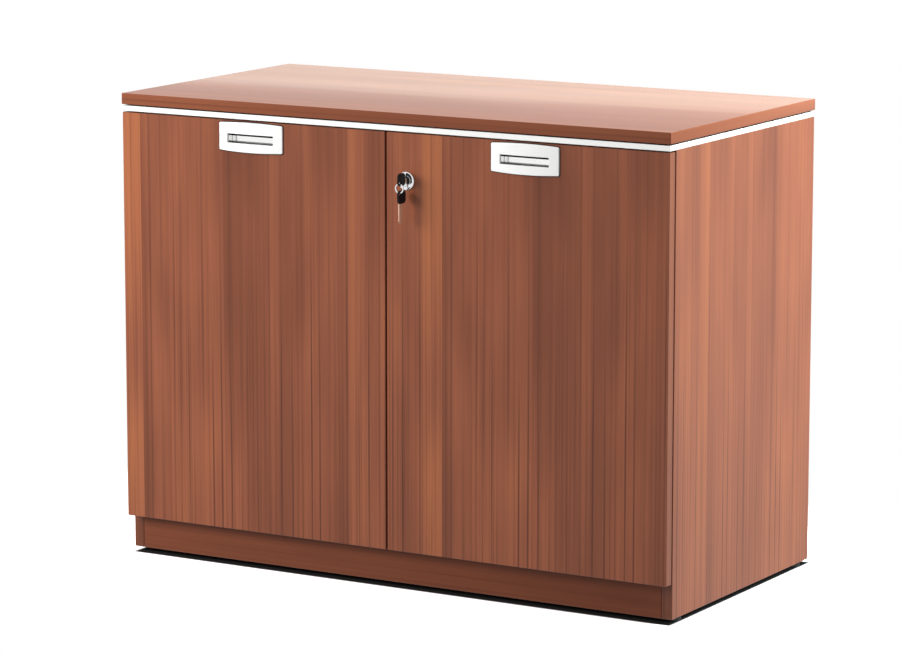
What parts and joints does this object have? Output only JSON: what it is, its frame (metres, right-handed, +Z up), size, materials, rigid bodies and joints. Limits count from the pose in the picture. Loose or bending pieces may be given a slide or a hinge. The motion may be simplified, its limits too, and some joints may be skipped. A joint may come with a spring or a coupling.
{
  "type": "office credenza",
  "caption": "Low two-door office credenza with overlay doors on concealed hinges, recessed pulls, a cam lock with keys, an inner shelf and a plinth on glides.",
  "frame": {"origin": "on the floor, under the middle of the overall box, keys included", "axes": "+X to the right along the width, +Y to the back, +Z up; the doors face -Y"},
  "size_m": [1, 0.5252, 0.76],
  "materials": {
    "wood_print": "semi-gloss melamine with a reddish brown wood print",
    "back_board": "matt fibreboard",
    "white_plastic": "smooth white moulding",
    "black_plastic": "satin black moulding",
    "clear_plastic": "soft clear bumper",
    "bright_metal": "polished chrome plate",
    "nickel": "nickel-plated pressed steel"
  },
  "bodies": {
    "carcass": {"top_panel": "wood_print", "trim_front": "white_plastic", "trim_left": "white_plastic", "trim_right": "white_plastic", "trim_back": "white_plastic", "side_panel_left": "wood_print", "side_panel_right": "wood_print", "bottom_panel": "wood_print", "sub_top": "wood_print", "back_panel": "back_board", "plinth_front": "wood_print", "plinth_back": "wood_print", "shelf": "wood_print", "shelf_pin_left_front": "bright_metal", "shelf_pin_left_back": "bright_metal", "shelf_pin_right_front": "bright_metal", "shelf_pin_right_back": "bright_metal", "glide_left_front": "black_plastic", "glide_left_back": "black_plastic", "glide_right_front": "black_plastic", "glide_right_back": "black_plastic", "hinge_arm_left_lower": "nickel", "hinge_arm_left_upper": "nickel", "hinge_arm_right_lower": "nickel", "hinge_arm_right_upper": "nickel", "bolt_keeper": "nickel"},
    "left_door": {"door_left": "wood_print", "handle_plate_left": "white_plastic", "handle_cup_left": "bright_metal", "hinge_cup_left_lower": "nickel", "hinge_cup_left_upper": "nickel", "bumper_left_lower": "clear_plastic", "bumper_left_upper": "clear_plastic", "strike_plate": "nickel", "bolt_body": "nickel"},
    "right_door": {"door_right": "wood_print", "handle_plate_right": "white_plastic", "handle_cup_right": "bright_metal", "hinge_cup_right_lower": "nickel", "hinge_cup_right_upper": "nickel", "bumper_right_lower": "clear_plastic", "bumper_right_upper": "clear_plastic", "lock_rosette": "bright_metal", "lock_housing": "bright_metal", "lock_nut": "nickel"},
    "left_links": {"hinge_link_left_lower": "nickel", "hinge_link_left_upper": "nickel"},
    "right_links": {"hinge_link_right_lower": "nickel", "hinge_link_right_upper": "nickel"},
    "lock_core": {"lock_plug": "bright_metal", "lock_cam": "nickel", "cam_screw": "nickel"},
    "key": {"key_blade": "nickel", "key_bow": "black_plastic"},
    "key_loop": {"key_ring": "bright_metal"},
    "spare_key": {"spare_key_bow": "black_plastic", "spare_key_blade": "nickel"},
    "bolt": {"bolt_slide": "bright_metal"}
  },
  "joints": [
    {"name": "left_door_swing", "type": "hinge", "parent": "carcass", "child": "left_door", "pos_m": [-0.4985, -0.23695, 0.396], "axis": [0, 0, -1], "range_deg": [0, 110]},
    {"name": "right_door_swing", "type": "hinge", "parent": "carcass", "child": "right_door", "pos_m": [0.4985, -0.23695, 0.396], "axis": [0, 0, 1], "range_deg": [0, 110]},
    {"name": "left_link_turn", "type": "hinge", "parent": "carcass", "child": "left_links", "pos_m": [-0.4724, -0.22195, 0.396], "axis": [0, 0, -1], "range_deg": [0, 195]},
    {"name": "right_link_turn", "type": "hinge", "parent": "carcass", "child": "right_links", "pos_m": [0.4724, -0.22195, 0.396], "axis": [0, 0, 1], "range_deg": [0, 195]},
    {"name": "lock_turn", "type": "hinge", "parent": "right_door", "child": "lock_core", "pos_m": [0.0376, -0.23695, 0.6548], "axis": [0, 1, 0], "range_deg": [0, 90]},
    {"name": "key_pull", "type": "slide", "parent": "lock_core", "child": "key", "axis": [0, -1, 0], "range_m": [0, 0.02]},
    {"name": "ring_swing", "type": "hinge", "parent": "key", "child": "key_loop", "pos_m": [0.0376, -0.25785, 0.6518], "axis": [1, 0, 0], "range_deg": [-60, 5]},
    {"name": "spare_key_swing", "type": "hinge", "parent": "key_loop", "child": "spare_key", "pos_m": [0.0376, -0.25785, 0.638], "axis": [1, 0, 0], "range_deg": [-40, 4]},
    {"name": "bolt_travel", "type": "slide", "parent": "left_door", "child": "bolt", "axis": [0, 0, 1], "range_m": [0, 0.012]}
  ],
  "couplings": [
    {"joint": "left_link_turn", "follows": "left_door_swing", "ratio": 1.7727},
    {"joint": "right_link_turn", "follows": "right_door_swing", "ratio": 1.7727}
  ]
}
